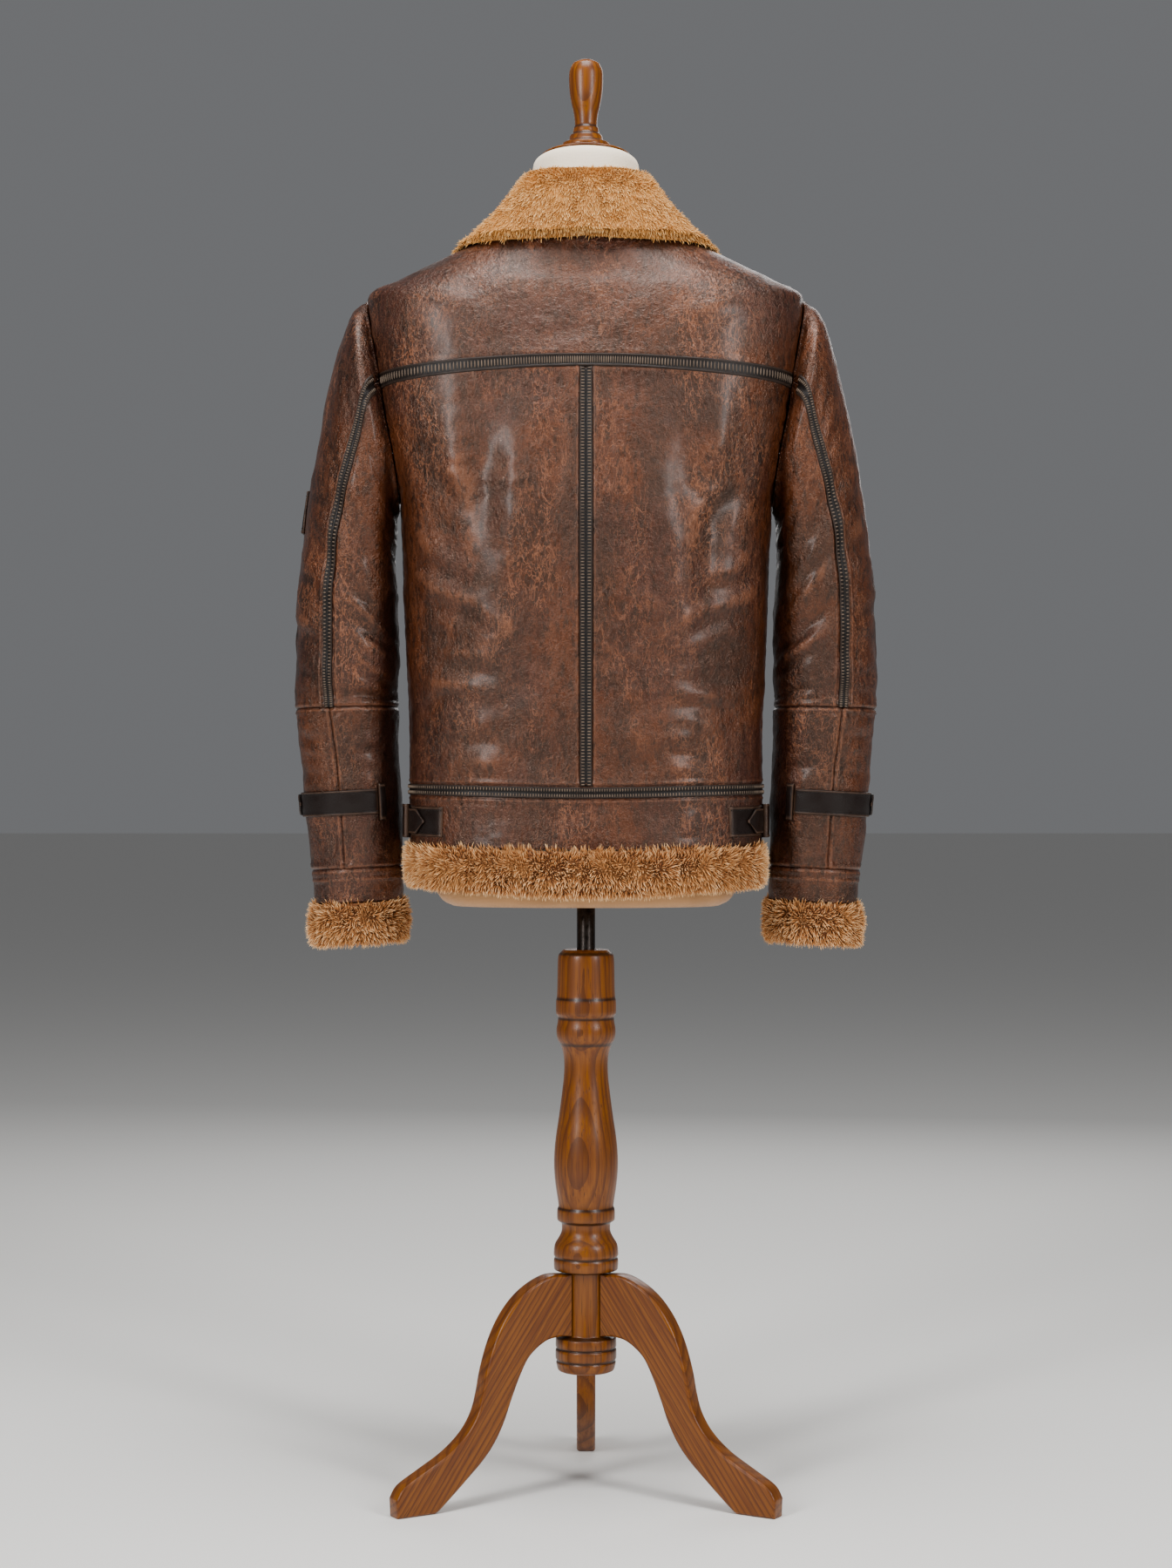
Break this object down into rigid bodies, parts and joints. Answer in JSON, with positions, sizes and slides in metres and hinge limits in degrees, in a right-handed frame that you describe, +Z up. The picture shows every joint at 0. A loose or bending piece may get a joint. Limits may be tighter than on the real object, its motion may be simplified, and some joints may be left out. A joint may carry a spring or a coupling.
{
  "type": "shearling coat on a dress form",
  "caption": "Hip-length shearling coat with fur collar, hem and cuffs and taped seams, filled out on a limbless dress form on a turned oak tripod stand.",
  "frame": {"origin": "on the floor, under the middle of the object's box", "axes": "+Z up, +Y the way the coat faces, +X towards the wearer's right"},
  "size_m": [0.5989, 0.363, 1.4725],
  "materials": {
    "shearling_leather": "distressed two-tone brown, satin",
    "fur": "golden tan sheepskin wool",
    "trim_tape": "dark ribbed tape, stitched",
    "strap_leather": "dark brown, semi-gloss",
    "zip_brass": "antique brass",
    "form_cover": "off-white jersey, matte",
    "form_base_cloth": "tan cloth, matte",
    "oak": "stained oak, satin varnish",
    "pole_metal": "black, semi-gloss"
  },
  "bodies": {
    "stand": {"column": "oak", "leg_1": "oak", "leg_2": "oak", "leg_3": "oak"},
    "pole": {"pole": "pole_metal"},
    "dressed_form": {"back_yoke": "shearling_leather", "back_left": "shearling_leather", "back_right": "shearling_leather", "front_left": "shearling_leather", "front_right": "shearling_leather", "hem_band_back": "shearling_leather", "hem_band_left": "shearling_leather", "hem_band_right": "shearling_leather", "left_topsleeve": "shearling_leather", "left_undersleeve": "shearling_leather", "left_forearm_outer": "shearling_leather", "left_forearm_inner": "shearling_leather", "left_cuff_band": "shearling_leather", "left_cuff_fur": "fur", "left_sleeve_tape": "trim_tape", "left_cuff_strap": "strap_leather", "left_cuff_keeper": "strap_leather", "left_cuff_strap_end": "strap_leather", "left_adjuster_patch": "strap_leather", "left_adjuster_strap": "strap_leather", "left_adjuster_loop": "strap_leather", "right_topsleeve": "shearling_leather", "right_undersleeve": "shearling_leather", "right_forearm_outer": "shearling_leather", "right_forearm_inner": "shearling_leather", "right_cuff_band": "shearling_leather", "right_cuff_fur": "fur", "right_sleeve_tape": "trim_tape", "right_cuff_strap": "strap_leather", "right_cuff_keeper": "strap_leather", "right_cuff_strap_end": "strap_leather", "right_adjuster_patch": "strap_leather", "right_adjuster_strap": "strap_leather", "right_adjuster_loop": "strap_leather", "hem_fur": "fur", "collar": "fur", "yoke_tape": "trim_tape", "centre_back_tape": "trim_tape", "waist_tape": "trim_tape", "left_pocket_flap": "strap_leather", "front_zip": "zip_brass", "zip_slider": "zip_brass", "form_body": "form_cover", "form_base": "form_base_cloth", "neck_cap": "oak", "finial": "oak"},
    "pull_tab": {"zip_pull": "zip_brass"}
  },
  "joints": [
    {"name": "pole_height", "type": "slide", "parent": "stand", "child": "pole", "axis": [0, 0, 1], "range_m": [0, 0.15]},
    {"name": "form_swivel", "type": "hinge", "parent": "pole", "child": "dressed_form", "pos_m": [0, -0.039, 0.603], "axis": [0, 0, 1], "continuous": true},
    {"name": "pull_swing", "type": "hinge", "parent": "dressed_form", "child": "pull_tab", "pos_m": [0, 0.09662, 1.15271], "axis": [1, 0, 0], "range_deg": [0, 150]}
  ]
}
